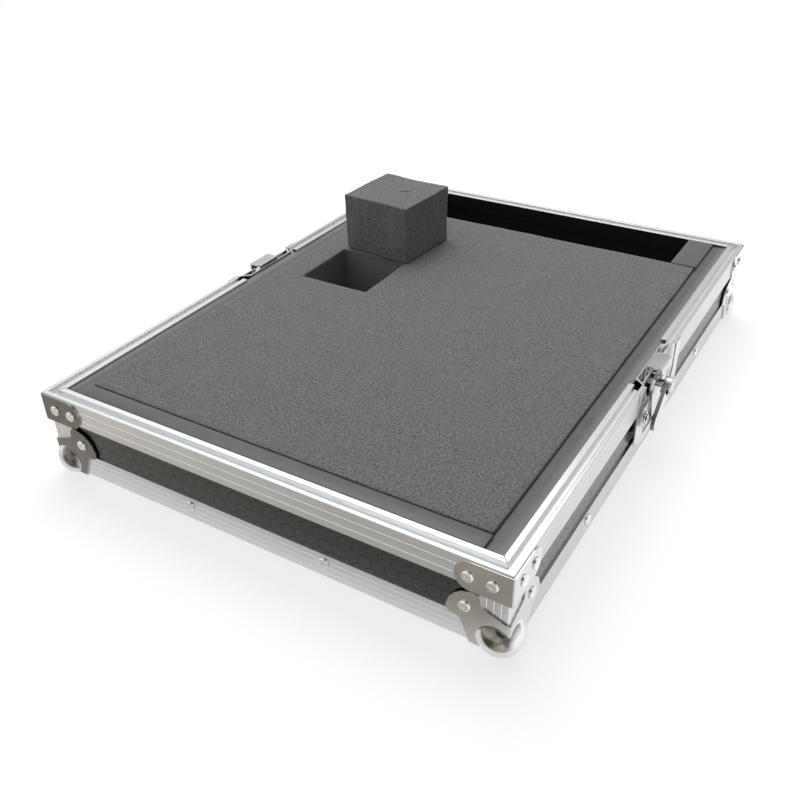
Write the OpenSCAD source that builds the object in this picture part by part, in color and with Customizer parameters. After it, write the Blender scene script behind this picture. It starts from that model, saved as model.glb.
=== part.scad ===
// Shallow base tray of a road case for a mixing desk: laminated plywood, a grooved rim for the lid,
// edge angles, ball corners, two recessed twist latches, and pick-and-pluck foam inside.
// X runs left to right, -Y is the front, the tray stands on its ball corners at Z = 0.

/* [Case] */
// Width over the rim, left to right
case_w = 440; // [400:1:520]
// Depth over the rim, front to back
case_d = 592; // [540:1:700]
// Height from the underside of the edge angles to the top of the rim
tray_h = 77.5; // [72:0.5:100]
// Thickness of the plywood panels
ply_t = 9; // [8:0.5:12]

/* [Rim extrusion] */
// Height of the outer leg
rim_h = 23; // [21:0.5:26]
// Height of the inner leg
rim_inner_h = 18; // [12:0.5:20]
// Thickness of the outer leg
rim_wall = 1.6; // [1.2:0.1:2]
// Thickness of the inner leg
rim_inner_t = 1.7; // [1.2:0.1:2.5]
// Width of the flat band outside the lid groove
rim_band = 3.6; // [3:0.1:4.5]
// Width of the lid groove
groove_w = 5.3; // [4.6:0.1:6]
// Depth of the lid groove
groove_d = 5; // [4.5:0.1:6]
// Depth from the top of the rim to the top of the plywood
panel_seat = 7.5; // [7:0.5:9]
// How far the rim stands out from the edge angles
rim_proud = 2; // [1.5:0.1:3]
// Small bevel on the rim's top edges
rim_bevel = 0.5; // [0.3:0.1:0.8]
// Height below the top of the two decorative grooves in the rim's outer leg
rim_lines = [8, 16.3];

/* [Edge angles] */
// Length of each leg of the angles
angle_leg = 23; // [21:0.5:26]
// Thickness of the angles
angle_t = 1.5; // [1.2:0.1:2]
// Width of the fine grooves in the extrusions
line_w = 1; // [0.6:0.1:1.4]
// Depth of the fine grooves in the extrusions
line_d = 0.35; // [0.2:0.05:0.5]
// Distance of the angles' fine grooves from their corner
angle_lines = [6, 11.5, 17];

/* [Ball corners] */
// Radius of the ball
ball_r = 17.5; // [16.5:0.5:19]
// Depth of the ball's centre inside the faces of the angles
ball_in = 9.6; // [9:0.2:10.4]
// Thickness of the pressed steel
ball_sheet = 1.2; // [1:0.1:1.4]
// Height of the notch between two legs
ball_notch = 29; // [27:0.5:31]
// Distance of each leg's rivet from both edges
ball_rivet = 33; // [31:0.5:34]
// Radius of the fillet between ball and legs
ball_fillet = 3; // [2:0.5:3.5]

/* [Corner braces] */
// Length of each leg of the brace
brace_len = 43; // [40:0.5:48]
// Height of the brace
brace_h = 25.6; // [24:0.2:27]
// Distance of the brace below the top of the rim
brace_drop = 1.4; // [1:0.1:2]
// Thickness of the brace
brace_t = 1.2; // [1:0.1:1.5]
// Distance of the two rivets from the corner
brace_rivets_at = [14, 32.5];

/* [Rivets] */
// Radius of the domed head
head_r = 4.7; // [4:0.1:5]
// Height of the domed head
head_h = 2; // [1.5:0.1:2.5]
// Radius of the shank
shank_r = 2.4; // [2:0.1:2.6]
// Radius of the dimple left by the mandrel
dimple_r = 1.3; // [0.8:0.1:1.8]
// Depth of the dimple
dimple_d = 1; // [0.5:0.1:1.2]
// Depth of the shank in the plywood
shank_in_ply = 7; // [5:0.5:7.5]
// Distance from the middle of the front and back edges to their rivets
edge_rivet_x = 66; // [50:1:90]
// Distance from the middle of the side edges to their rivets
edge_rivet_y = 150; // [110:1:190]
// Height of the edge rivets above the underside
edge_rivet_z = 14.8; // [13.5:0.1:16]

/* [Foam] */
// Thickness of the pad under the foam
pad_t = 7; // [5:0.5:10]
// Width of the smooth strips round the inside
strip_w = 14.5; // [12:0.5:20]
// Length of the open compartment at the back
trough_len = 70; // [50:1:90]
// Length of the smooth blocks at both ends of the back compartment
end_block_w = 26.5; // [20:0.5:40]
// Side of one square cell of the foam
cell = 19.5; // [18:0.5:22]
// Cells on each side of the plucked pocket
pocket_cells = 4; // [3:1:5]
// Distance from the left edge of the foam to the pocket
pocket_x = 31; // [20:1:100]
// Distance from the front edge of the foam to the pocket
pocket_y = 261; // [100:1:300]
// Gap left at the front of the foam
front_gap = 2.5; // [1:0.5:5]
// Gap left at the right of the foam
right_gap = 2.2; // [1:0.2:4]
// How much the plucked block swells on each side once it is out
block_swell = 1.5; // [0.5:0.5:3]
// Angle at which the plucked block stands
block_turn = -4.3; // [-15:0.1:15]
// Distance of the block's middle behind the middle of the pocket
block_back = 79.5; // [70:0.5:90]
// Distance of the block's middle to the right of the middle of the pocket
block_right = 5.7; // [0:0.1:10]
// Clearance between foam and hard parts
foam_fit = 0.3; // [0.2:0.1:0.5]

/* [Latches] */
// Distance of the latches behind the middle of the case
latch_shift = 3; // [0:0.5:10]
// Width of the gap that the dish takes out of the rim
latch_gap = 86.4; // [84:0.2:92]
// Width of the flange over the rim at each side of the gap
flange_side = 13; // [10:0.5:16]
// Height of the flange below the recess
flange_below = 7.5; // [7:0.5:9]
// Bevel at the lower corners of the flange
flange_bevel = 13; // [8:0.5:16]
// Thickness of the dish's pressed steel
dish_t = 1.2; // [1:0.1:1.4]
// Depth of the deep part of the dish, from the flange's back face
dish_depth = 10; // [9.8:0.1:10.2]
// Half width of the deep part at the top of the rim
vee_half = 40; // [38:0.5:40]
// Height below the rim at which the deep part has narrowed to the hook's channel
vee_low = 30; // [28:0.5:32]
// Slope of the sides of the deep part, as the width lost on its way in
vee_slope = 7; // [5:0.5:8]
// Height of the folded cheeks beside the hook
cheek_h = 5; // [4:0.5:6]
// Height of the twist spindle below the top of the rim
spindle_drop = 18.5; // [18:0.1:19]
// Throw of the crank pin
crank = 4.5; // [4.2:0.1:4.8]
// Angle of the handle above the horizontal, as it stands
handle_turn = 43; // [30:1:60]
// Width of the hook
hook_w = 28.4; // [26:0.2:29]
// Thickness of the hook plate
hook_t = 2; // [1.8:0.1:2.2]
// Height of the hook's top above the rim, as it stands
hook_rise = 3; // [2:0.5:4]
// How far the hook's nose stands out from the rim's face
hook_reach = 5.3; // [4.8:0.1:5.4]
// Height of the hook's nose
hook_nose = 9.2; // [8:0.2:9.6]
// Running clearance of flat sliding faces
slide_fit = 0.3; // [0.2:0.05:0.4]
// Radial running clearance of pins and shafts
run_fit = 0.05; // [0.03:0.01:0.08]
// Radius of the spindle
spindle_r = 4; // [3.5:0.1:4.5]
// Radius of the hub
hub_r = 7.5; // [7:0.1:7.8]
// Reach of the folding lever from the spindle
lever_len = 43.5; // [38:0.5:46]
// Half width of the lever
lever_half = 8.5; // [8:0.1:9.5]
// Depth of the lever's folded edge
lever_depth = 3.4; // [3:0.1:3.6]
// Thickness of the lever
lever_t = 1; // [0.8:0.1:1.2]
// Radius of the lever's hinge pin
lever_pin_r = 1.5; // [1.3:0.1:1.7]

/* [Hidden] */
$fn = 48;
EPS = 0.01;
BIG = 400;

// Half sizes and heights of the case
half_w = case_w / 2;
half_d = case_d / 2;
foot_z = ball_r - ball_in;
rim_z = foot_z + tray_h;
// Distances in from the rim's outer face
ply_out = rim_proud + angle_t;
ply_in = ply_out + ply_t;
rim_t = ply_in + rim_inner_t;
base_top = foot_z + angle_t + ply_t;
pad_top = base_top + pad_t;
foam_h = rim_z - pad_top;
// Inside of the foam lining
lining_x = half_w - rim_t - foam_fit;
lining_y = half_d - rim_t - foam_fit;
well_x = lining_x - strip_w;
well_front = -lining_y + strip_w + front_gap;
trough_front = half_d - rim_t - trough_len;
pocket = cell * pocket_cells;
pocket_mid = [pocket_x + pocket / 2 - well_x, well_front + pocket_y + pocket / 2];
block = pocket + 2 * block_swell;
// Corner cut off the edge angles so that they clear the inside of the ball
corner_cut = 4;
// Rivet lengths under the head
brace_shank = brace_t + ply_out + shank_in_ply;
ball_shank = ball_sheet + angle_t + shank_in_ply;
edge_shank = angle_t + shank_in_ply;
hole_fit = 0.02;
// Latch: X is the distance out from the rim's face, Y runs along the rim, Z = 0 is the top of the rim
gap_half = latch_gap / 2;
open_half = gap_half - dish_t;
flange_half = gap_half + flange_side;
shelf = ply_out - dish_t;
channel_half = hook_w / 2 + slide_fit;
// The recess ends just above the edge angle
shelf_z = tray_h - angle_leg - 1;
flange_h = shelf_z + flange_below;
channel_z = shelf_z - 1.5;
shelf_half = open_half - 9;
shelf_bend = 27;
bridge_t = 1.2;
bridge_half = channel_half + 5;
bridge_top = 8.5;
bridge_low = channel_z;
foot_half = 32.5;
foot_top = channel_z - 19;
// Raised middle of the bridge plate, widest just below its top
raised_low = 9;
raised_high = 22;
raised_drop = 6;
boss_r = head_r + 2;
boss_h = 0.8;
latch_rivet = [25, (foot_top + channel_z) / 2];
latch_shank = boss_h + bridge_t + ply_out - shelf + shank_in_ply;
cheek_in = 1;
hook_back = dish_depth - slide_fit;
hook_face = hook_back - hook_t;
disc_r = crank + 3.2;
crank_pin_r = 2.5;
disc_in = hook_face - slide_fit;
disc_out = shelf + slide_fit;
// The hook rises by a constant amount per degree, the crank pin by a sine: the slot takes up the difference
hook_mid = crank - 2 * crank * handle_turn / 180;
slot_half_h = crank_pin_r + crank * 0.21 + slide_fit;
slot_half_w = crank_pin_r + crank + slide_fit;
hook_low = spindle_drop + slot_half_h + 5;
hook_bend = 2.5;
hub_low = hook_reach + 0.7;
hub_high = 13;
hub_bevel = 0.8;
// Room in the hub for the lever's root and ears
hub_cut = 6.4;
hub_half_w = 6;
lever_pin_s = 4;
lever_pin_n = 8.5;
lever_root = 9.5;
lever_face = 10.4;
ear_in = hub_half_w + slide_fit;
ear_t = 2;
ear_r = 2.8;
hub_flat = lever_pin_s - ear_r - slide_fit;

function arc(c, r, a0, a1, n = 6) = [
    for (i = [0:n])
        let (a = a0 + (a1 - a0) * i / n)
        c + r * [cos(a), sin(a)]
];
function mirror_x(pts) = [for (i = [len(pts) - 1:-1:0]) [-pts[i][0], pts[i][1]]];
// Closed outline from the points of its right half
function both(half) = concat(mirror_x(half), half);
function swap(pts) = [for (i = [len(pts) - 1:-1:0]) [pts[i][1], pts[i][0]]];
function lines_up(at) = [for (p = at) each [[p - line_w / 2, 0], [p, line_d], [p + line_w / 2, 0]]];

// Placement helpers

module flip(on, axis) {
    if (on) mirror(axis) children();
    else children();
}

// Local Y points out of the side, local X runs along it
module at_side(turn, reach) rotate([0, 0, turn]) translate([0, reach, 0]) children();

// Local X and Y run inwards from a vertical edge that lies the given distance inside the rim's corner
module at_corner(sx, sy, inset)
    translate([sx * (half_w - inset), sy * (half_d - inset), 0])
    flip(sx > 0, [1, 0, 0])
    flip(sy > 0, [0, 1, 0])
    children();

module each_corner(inset)
    for (sx = [-1, 1], sy = [-1, 1])
        at_corner(sx, sy, inset) children();

// The right latch's frame; the left latch is its mirror image
module at_latch(side)
    flip(side < 0, [1, 0, 0])
    translate([half_w, latch_shift, rim_z])
    children();

// Flat plate in the latch's Y-Z plane
module plate(pts, x0, x1)
    translate([x0, 0, 0]) rotate([90, 0, 90]) linear_extrude(x1 - x0) polygon(pts);

// Bar along a side, with both ends mitred at the corners of the case
module mitred_bar(section, span) {
    intersection() {
        rotate([90, 0, 90]) linear_extrude(span, center = true) polygon(section);
        linear_extrude(BIG, center = true) polygon([
            [-span / 2 - 1, 1], [span / 2 + 1, 1],
            [span / 2 - angle_leg * 2, -angle_leg * 2], [-span / 2 + angle_leg * 2, -angle_leg * 2]
        ]);
    }
}

// Where the rivets sit: the children are drawn with their head outwards along Z

module on_leg_faces(h, z, out) {
    translate([h, -out, z]) rotate([90, 0, 0]) children();
    translate([-out, h, z]) rotate([0, -90, 0]) children();
}

module at_brace_rivets()
    each_corner(0)
    for (h = brace_rivets_at)
        on_leg_faces(h, rim_z - brace_drop - brace_h / 2, brace_t) children();

module at_ball_rivets()
    each_corner(rim_proud) {
        on_leg_faces(ball_rivet, foot_z + ball_rivet, ball_sheet) children();
        translate([ball_rivet, ball_rivet, foot_z - ball_sheet]) rotate([180, 0, 0]) children();
    }

module at_edge_rivets() {
    for (side = [[0, half_d, edge_rivet_x], [90, half_w, edge_rivet_y],
                 [180, half_d, edge_rivet_x], [270, half_w, edge_rivet_y]])
        for (s = [-1, 1])
            at_side(side[0], side[1] - rim_proud)
            translate([s * side[2], 0, foot_z + edge_rivet_z]) rotate([-90, 0, 0]) children();
}

module at_latch_rivets(side)
    at_latch(side)
    for (s = [-1, 1])
        translate([-shelf + bridge_t + boss_h, s * latch_rivet[0], -latch_rivet[1]]) rotate([0, 90, 0]) children();

module rivet(shank) {
    rotate_extrude() polygon(concat(
        [[0, -shank], [shank_r, -shank], [shank_r, 0], [head_r, 0]],
        arc([head_r - head_h * 0.8, head_h * 0.2], head_h * 0.8, 0, 90, 4),
        [[dimple_r, head_h], [dimple_r * 0.5, head_h - dimple_d], [0, head_h - dimple_d]]
    ));
}

module rivet_hole(shank) translate([0, 0, -shank]) cylinder(r = shank_r + hole_fit, h = shank + head_h);

module rivet_holes() {
    at_brace_rivets() rivet_hole(brace_shank);
    at_ball_rivets() rivet_hole(ball_shank);
    at_edge_rivets() rivet_hole(edge_shank);
    for (side = [-1, 1]) at_latch_rivets(side) rivet_hole(latch_shank);
}

// Plywood panels

module panel_box(low, high)
    difference() {
        translate(low) cube(high - low);
        rivet_holes();
        for (side = [-1, 1]) at_latch(side) panel_cutout();
    }

// Opening sawn in the side panel for the deep part of the dish
module panel_cutout() {
    room = dish_t + foam_fit;
    plate(both([[channel_half + room, -channel_z - room], [channel_half + room, -vee_low],
                [vee_half + room, 1]]), -ply_in - 1, -ply_out + 1);
}

module base_panel() color("#2b2b2c")
    panel_box([-(half_w - ply_out), -(half_d - ply_out), foot_z + angle_t],
              [half_w - ply_out, half_d - ply_out, base_top]);

// The front and back panels stand between the side panels
module end_panel(s) color("#2b2b2c")
    panel_box([-(half_w - ply_in), min(s * (half_d - ply_out), s * (half_d - ply_in)), base_top],
              [half_w - ply_in, max(s * (half_d - ply_out), s * (half_d - ply_in)), rim_z - panel_seat]);

module side_panel(s) color("#2b2b2c")
    panel_box([min(s * (half_w - ply_out), s * (half_w - ply_in)), -(half_d - ply_out), base_top],
              [max(s * (half_w - ply_out), s * (half_w - ply_in)), half_d - ply_out, rim_z - panel_seat]);

// Rim extrusion with the lid groove

// Y is the distance out from the rim's face, Z is measured from the top of the rim
rim_section = concat(
    [[0, -rim_bevel], [-rim_bevel, 0], [-rim_band + rim_bevel, 0], [-rim_band, -rim_bevel],
     [-rim_band, -groove_d], [-rim_band - groove_w, -groove_d],
     [-rim_band - groove_w, -rim_bevel], [-rim_band - groove_w - rim_bevel, 0],
     [-rim_t + rim_bevel, 0], [-rim_t, -rim_bevel], [-rim_t, -rim_inner_h], [-ply_in, -rim_inner_h],
     [-ply_in, -panel_seat], [-ply_out, -panel_seat], [-ply_out, -panel_seat - rim_wall],
     [-rim_wall, -panel_seat - 2 * rim_wall], [-rim_wall, -rim_h + 2 * rim_wall],
     [-ply_out, -rim_h + rim_wall], [-ply_out, -rim_h], [0, -rim_h]],
    [for (i = [len(rim_lines) - 1:-1:0]) each [
        [0, -rim_lines[i] - line_w / 2], [-line_d, -rim_lines[i]], [0, -rim_lines[i] + line_w / 2]]]
);

module rim_bar(turn, reach, span) color("#c9ccd0")
    difference() {
        at_side(turn, reach)
        translate([0, 0, rim_z])
        mitred_bar(rim_section, span);
        at_brace_rivets() rivet_hole(brace_shank);
    }

// The side bars stop at the latch
module side_rim(side, end)
    intersection() {
        rim_bar(-90 * side, half_w, case_d);
        translate([-BIG, end > 0 ? latch_shift + gap_half : -BIG, 0])
            cube([2 * BIG, end > 0 ? BIG : BIG + latch_shift - gap_half, BIG]);
    }

// Edge angles

angle_section = concat(
    arc([angle_t, angle_t], angle_t, 180, 270),
    lines_up(angle_lines),
    [[angle_leg, 0], [angle_leg, angle_t], [angle_t, angle_t], [angle_t, angle_leg], [0, angle_leg]],
    swap(lines_up(angle_lines))
);

module edge_angle(turn, reach, span) color("#c4c6c9")
    difference() {
        at_side(turn, reach)
        translate([0, 0, foot_z])
        mitred_bar([for (p = angle_section) [-rim_proud - p[0], p[1]]], span);
        at_edge_rivets() rivet_hole(edge_shank);
        each_corner(rim_proud) rotate([0, 0, 45]) cube([2 * corner_cut, BIG, BIG], center = true);
    }

module corner_angle(sx, sy) color("#c4c6c9")
    at_corner(sx, sy, rim_proud)
    translate([0, 0, foot_z + angle_leg])
    linear_extrude(tray_h - angle_leg - rim_h) polygon(angle_section);

// Ball corners

// Outline of one leg, the same on both sides of its diagonal
leg_half = concat(
    [[0, ball_notch], [ball_rivet - 14, ball_rivet + 3.5], [ball_rivet - 12, ball_rivet + 6]],
    arc([ball_rivet - 5.8, ball_rivet + 8.5], 6.2, 180, 60),
    [[ball_rivet + 3.5, ball_rivet + 11.8]]
);
leg_outline = concat([[0, 0]], leg_half, [[ball_rivet + 8.2, ball_rivet + 8.2]], swap(leg_half));

module leg_plate() linear_extrude(ball_sheet) polygon(leg_outline);

// Fillet where the ball swells out of a leg, turned about the ball's axis
module ball_flare() {
    lift = ball_in + ball_sheet + ball_fillet;
    reach = sqrt(pow(ball_r + ball_fillet, 2) - pow(lift, 2));
    lean = atan2(-lift, -reach);
    rotate_extrude() polygon(concat(
        [[reach, 0.2]],
        arc([reach, ball_sheet + ball_fillet], ball_fillet + 0.05, -90, lean, 5),
        [[reach * 0.72, ball_sheet], [reach * 0.72, 0.2]]
    ));
}

module ball_corner(sx, sy) color("#b9bbbd")
    at_corner(sx, sy, rim_proud)
    translate([0, 0, foot_z])
    difference() {
        union() {
            rotate([90, 0, 0]) leg_plate();
            translate([-ball_sheet, 0, 0]) rotate([90, 0, 90]) leg_plate();
            translate([0, 0, -ball_sheet]) leg_plate();
            cylinder(r = ball_sheet, h = ball_notch);
            rotate([0, 90, 0]) cylinder(r = ball_sheet, h = ball_notch);
            rotate([-90, 0, 0]) cylinder(r = ball_sheet, h = ball_notch);
            translate([ball_in, ball_in, ball_in]) sphere(ball_r);
            intersection() {
                union() {
                    translate([ball_in, 0, ball_in]) rotate([90, 0, 0]) ball_flare();
                    translate([0, ball_in, ball_in]) rotate([0, -90, 0]) ball_flare();
                    translate([ball_in, ball_in, 0]) rotate([180, 0, 0]) ball_flare();
                }
                union() {
                    translate([0, -ball_r, 0]) cube(2 * ball_r);
                    translate([-ball_r, 0, 0]) cube(2 * ball_r);
                    translate([0, 0, -ball_r]) cube(2 * ball_r);
                }
            }
        }
        cube(BIG);
        translate([ball_in, ball_in, ball_in]) sphere(ball_r - ball_sheet);
        translate([ball_rivet, 0, ball_rivet]) rotate([90, 0, 0])
            cylinder(r = shank_r + hole_fit, h = 2 * ball_sheet);
        translate([0, ball_rivet, ball_rivet]) rotate([0, -90, 0])
            cylinder(r = shank_r + hole_fit, h = 2 * ball_sheet);
        translate([ball_rivet, ball_rivet, 0]) rotate([180, 0, 0])
            cylinder(r = shank_r + hole_fit, h = 2 * ball_sheet);
    }

// Corner braces on the rim

brace_end_r = brace_h / 2;
brace_outline = concat(
    [[0, 0]],
    arc([brace_len - brace_end_r, brace_end_r], brace_end_r, -90, 90, 12),
    [[0, brace_h]]
);

module brace(sx, sy) color("#b9bbbd")
    at_corner(sx, sy, 0)
    translate([0, 0, rim_z - brace_drop - brace_h])
    difference() {
        union() {
            rotate([90, 0, 0]) linear_extrude(brace_t) polygon(brace_outline);
            translate([-brace_t, 0, 0]) rotate([90, 0, 90]) linear_extrude(brace_t) polygon(brace_outline);
            cylinder(r = brace_t, h = brace_h);
        }
        cube(BIG);
        for (h = brace_rivets_at)
            on_leg_faces(h, brace_h / 2, brace_t) rivet_hole(2 * brace_t);
    }

// Rivets

module brace_rivets() color("#d5d7d9") at_brace_rivets() rivet(brace_shank);
module ball_corner_rivets() color("#d5d7d9") at_ball_rivets() rivet(ball_shank);
module edge_rivets() color("#d5d7d9") at_edge_rivets() rivet(edge_shank);
module latch_rivets() color("#d5d7d9") for (side = [-1, 1]) at_latch_rivets(side) rivet(latch_shank);

// Latch dish: a flange over the rim, a shallow shelf, and a deep part that narrows to the hook's channel

flange_outline = both([
    [flange_half - flange_bevel, -flange_h], [flange_half, -flange_h + flange_bevel], [flange_half, 0]
]);

function dish_opening(grow, top) = both([
    [shelf_half + grow, -shelf_z - grow], [open_half + grow, -shelf_bend], [open_half + grow, top]
]);
function dish_vee(lost, grow, top) = both([
    [channel_half + grow, -vee_low + lost], [vee_half - lost + grow, top]
]);
function dish_channel(grow, top) = both([
    [channel_half + grow, -channel_z - grow], [channel_half + grow, top]
]);

module dish_form(grow, top) {
    hull() {
        plate(dish_opening(grow, top), -EPS, EPS);
        plate(dish_opening(grow - 1, top), -shelf - grow, -shelf - grow + EPS);
    }
    hull() {
        plate(dish_vee(0, grow, top), -shelf - EPS, -shelf + EPS);
        plate(dish_vee(vee_slope, grow, top), -dish_depth - grow, -dish_depth - grow + EPS);
    }
    plate(dish_channel(grow, top - 5), -dish_depth - grow, -shelf + EPS);
}

module dish(side) color("#c6c8ca")
    difference() {
        at_latch(side) {
            difference() {
                union() {
                    plate(flange_outline, 0, dish_t);
                    dish_form(dish_t, 0);
                }
                dish_form(0, 1);
                plate(dish_opening(0, 1), -EPS, dish_t + 1);
            }
            cheek();
            mirror([0, 1, 0]) cheek();
        }
        at_latch_rivets(side) rivet_hole(latch_shank);
    }

// Folded cheek that carries the line of the lid groove across the dish; its end lies in the dish's wall
module cheek() {
    wall = vee_half - vee_slope * (cheek_in + dish_t) / (dish_depth - shelf) + dish_t / 2;
    plate([[channel_half + 2.5, -cheek_h], [wall - cheek_h * (vee_half - channel_half) / vee_low, -cheek_h],
           [wall, 0], [channel_half + 2.5, 0]],
          -shelf - cheek_in - dish_t, -shelf - cheek_in);
}

// Bridge plate over the hook's channel: two feet on the shelf with a pressed boss at each rivet, and a raised
// middle that carries the spindle
module bridge(side) color("#c9cbce")
    difference() {
        at_latch(side)
        difference() {
            union() {
                plate(both([[foot_half - 6, -bridge_low], [foot_half, -bridge_low + 5], [foot_half, -foot_top],
                            [bridge_half, -foot_top + 5], [channel_half, -bridge_top]]),
                      -shelf, -shelf + bridge_t);
                plate(both([[raised_low, -bridge_low + 2], [raised_high, -bridge_top - raised_drop],
                            [channel_half, -bridge_top]]), -shelf + bridge_t - EPS, dish_t);
                for (s = [-1, 1])
                    translate([-shelf + bridge_t - EPS, s * latch_rivet[0], -latch_rivet[1]]) rotate([0, 90, 0])
                    cylinder(r = boss_r, h = boss_h + EPS);
            }
            translate([-shelf - 1, 0, -spindle_drop]) rotate([0, 90, 0])
                cylinder(r = spindle_r + run_fit, h = shelf + dish_t + 2);
        }
        at_latch_rivets(side) rivet_hole(latch_shank);
    }

// Hook: a plate with a slot for the crank pin, a flat top and a nose that points down
hook_section = concat(
    [[-hook_back, -hook_low], [-hook_face, -hook_low], [-hook_face, hook_rise - hook_t],
     [hook_reach - hook_t, hook_rise - hook_t], [hook_reach - hook_t, hook_rise - hook_nose],
     [hook_reach, hook_rise - hook_nose]],
    arc([hook_reach - hook_bend, hook_rise - hook_bend], hook_bend, 0, 90),
    arc([-hook_back + hook_bend, hook_rise - hook_bend], hook_bend, 90, 180)
);

module hook(side) color("#b4b6b8")
    at_latch(side)
    difference() {
        translate([0, hook_w / 2, 0]) rotate([90, 0, 0]) linear_extrude(hook_w) polygon(hook_section);
        translate([-hook_back - 1, -slot_half_w, -spindle_drop + hook_mid - slot_half_h])
            cube([hook_t + 2, 2 * slot_half_w, 2 * slot_half_h]);
    }

// Round hub with two flats for the lever's ears and a cut for its root; the lever lies along -Y
module hub()
    difference() {
        union() {
            translate([hub_low, 0, 0]) rotate([0, 90, 0]) cylinder(r = hub_r, h = hub_high - hub_low - hub_bevel);
            translate([hub_high - hub_bevel - EPS, 0, 0]) rotate([0, 90, 0])
                cylinder(r1 = hub_r, r2 = hub_r - hub_bevel, h = hub_bevel + EPS);
        }
        for (w = [-hub_half_w - BIG, hub_half_w]) translate([0, -BIG - hub_flat, w]) cube(BIG);
        translate([0, -BIG - hub_cut, -BIG / 2]) cube(BIG);
    }

// Twist spindle: crank disc and pin inside, shaft through the bridge, hub for the lever outside
module spindle(side) color("#d0cfca")
    at_latch(side)
    translate([0, 0, -spindle_drop])
    difference() {
        union() {
            translate([-disc_in, 0, 0]) rotate([0, 90, 0]) cylinder(r = disc_r, h = disc_in - disc_out);
            translate([-disc_out - EPS, 0, 0]) rotate([0, 90, 0])
                cylinder(r = spindle_r, h = disc_out + hub_low + 2 * EPS);
            translate([-hook_back, -crank * sin(handle_turn), crank * cos(handle_turn)])
                rotate([0, 90, 0]) cylinder(r = crank_pin_r, h = hook_back - disc_in + EPS);
            rotate([handle_turn, 0, 0]) hub();
        }
        rotate([handle_turn, 0, 0])
            translate([lever_pin_n, -lever_pin_s, 0])
            cylinder(r = lever_pin_r + hole_fit, h = 4 * hub_half_w, center = true);
    }

module lever_pin(side) color("#8f8f8d")
    at_latch(side)
    translate([0, 0, -spindle_drop]) rotate([handle_turn, 0, 0])
    translate([lever_pin_n, -lever_pin_s, 0])
    cylinder(r = lever_pin_r, h = 2 * (ear_in + ear_t), center = true);

// Outline of the lever, with Y along it from the spindle, drawn smaller by the given inset
function lever_outline(inset) = let (
    tip = lever_half - inset,
    side = [[lever_root + inset, ear_in + ear_t - inset], [lever_root + 8, tip]]
) concat(
    [for (p = side) [p[0], -p[1]]],
    arc([lever_len - lever_half, 0], tip, -90, 90, 16),
    [side[1], side[0]]
);

// Pressed lever with a folded edge and two hinge ears
module lever(side) color("#a9abad")
    at_latch(side)
    translate([0, 0, -spindle_drop]) rotate([handle_turn + 180, 0, 0])
    difference() {
        union() {
            difference() {
                plate(lever_outline(0), lever_face - lever_depth, lever_face);
                plate(lever_outline(lever_t), lever_face - lever_depth - 1, lever_face - lever_t);
            }
            for (w = [-ear_in - ear_t, ear_in])
                translate([0, 0, w]) {
                    translate([lever_pin_n, lever_pin_s, 0]) cylinder(r = ear_r, h = ear_t);
                    translate([lever_pin_n - ear_r, lever_pin_s, 0])
                        cube([lever_face - lever_pin_n + ear_r - lever_t / 2, lever_root - lever_pin_s + lever_t, ear_t]);
                }
        }
        translate([lever_pin_n, lever_pin_s, 0])
            cylinder(r = lever_pin_r + run_fit, h = 4 * hub_half_w, center = true);
    }

// Foam

module foam_box(low, high) color("#5c5c5c") translate(low) cube(high - low);

module foam_pad()
    color("#1c1c1c")
    translate([-(half_w - ply_in - foam_fit), -(half_d - ply_in - foam_fit), base_top])
    cube([2 * (half_w - ply_in - foam_fit), 2 * (half_d - ply_in - foam_fit), pad_t]);

module foam_strip_side(s)
    foam_box([s > 0 ? well_x : -lining_x, -lining_y, pad_top],
             [s > 0 ? lining_x : -well_x, lining_y, rim_z]);

module foam_strip_front()
    foam_box([-well_x, -lining_y, pad_top], [well_x, -lining_y + strip_w, rim_z]);

module end_block(s)
    foam_box([s > 0 ? well_x - end_block_w : -well_x, trough_front, pad_top],
             [s > 0 ? well_x : end_block_w - well_x, lining_y, rim_z]);

// Foam body with the pocket left by the plucked block
module pluck_foam()
    difference() {
        foam_box([-well_x, well_front, pad_top], [well_x - right_gap, trough_front, rim_z]);
        translate([pocket_mid[0] - pocket / 2, pocket_mid[1] - pocket / 2, pad_top - 1])
            cube([pocket, pocket, foam_h + 2]);
    }

module plucked_block() color("#4f4f4f")
    translate([pocket_mid[0] + block_right, pocket_mid[1] + block_back, rim_z])
    rotate([0, 0, block_turn])
    translate([-block / 2, -block / 2, 0]) cube([block, block, foam_h]);

base_panel();
end_panel(-1);  // front_panel
end_panel(1);  // back_panel
side_panel(-1);  // left_panel
side_panel(1);  // right_panel
rim_bar(180, half_d, case_w);  // rim_front
rim_bar(0, half_d, case_w);  // rim_back
side_rim(-1, -1);  // rim_left_front
side_rim(-1, 1);  // rim_left_rear
side_rim(1, -1);  // rim_right_front
side_rim(1, 1);  // rim_right_rear
edge_angle(180, half_d, case_w);  // angle_front
edge_angle(0, half_d, case_w);  // angle_back
edge_angle(90, half_w, case_d);  // angle_left
edge_angle(-90, half_w, case_d);  // angle_right
corner_angle(-1, -1);  // corner_angle_front_left
corner_angle(1, -1);  // corner_angle_front_right
corner_angle(-1, 1);  // corner_angle_back_left
corner_angle(1, 1);  // corner_angle_back_right
ball_corner(-1, -1);  // ball_corner_front_left
ball_corner(1, -1);  // ball_corner_front_right
ball_corner(-1, 1);  // ball_corner_back_left
ball_corner(1, 1);  // ball_corner_back_right
brace(-1, -1);  // brace_front_left
brace(1, -1);  // brace_front_right
brace(-1, 1);  // brace_back_left
brace(1, 1);  // brace_back_right
brace_rivets();
ball_corner_rivets();
edge_rivets();
latch_rivets();
dish(1);  // right_dish
bridge(1);  // right_bridge
hook(1);  // right_hook
spindle(1);  // right_spindle
lever_pin(1);  // right_lever_pin
lever(1);  // right_lever
dish(-1);  // left_dish
bridge(-1);  // left_bridge
hook(-1);  // left_hook
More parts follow.
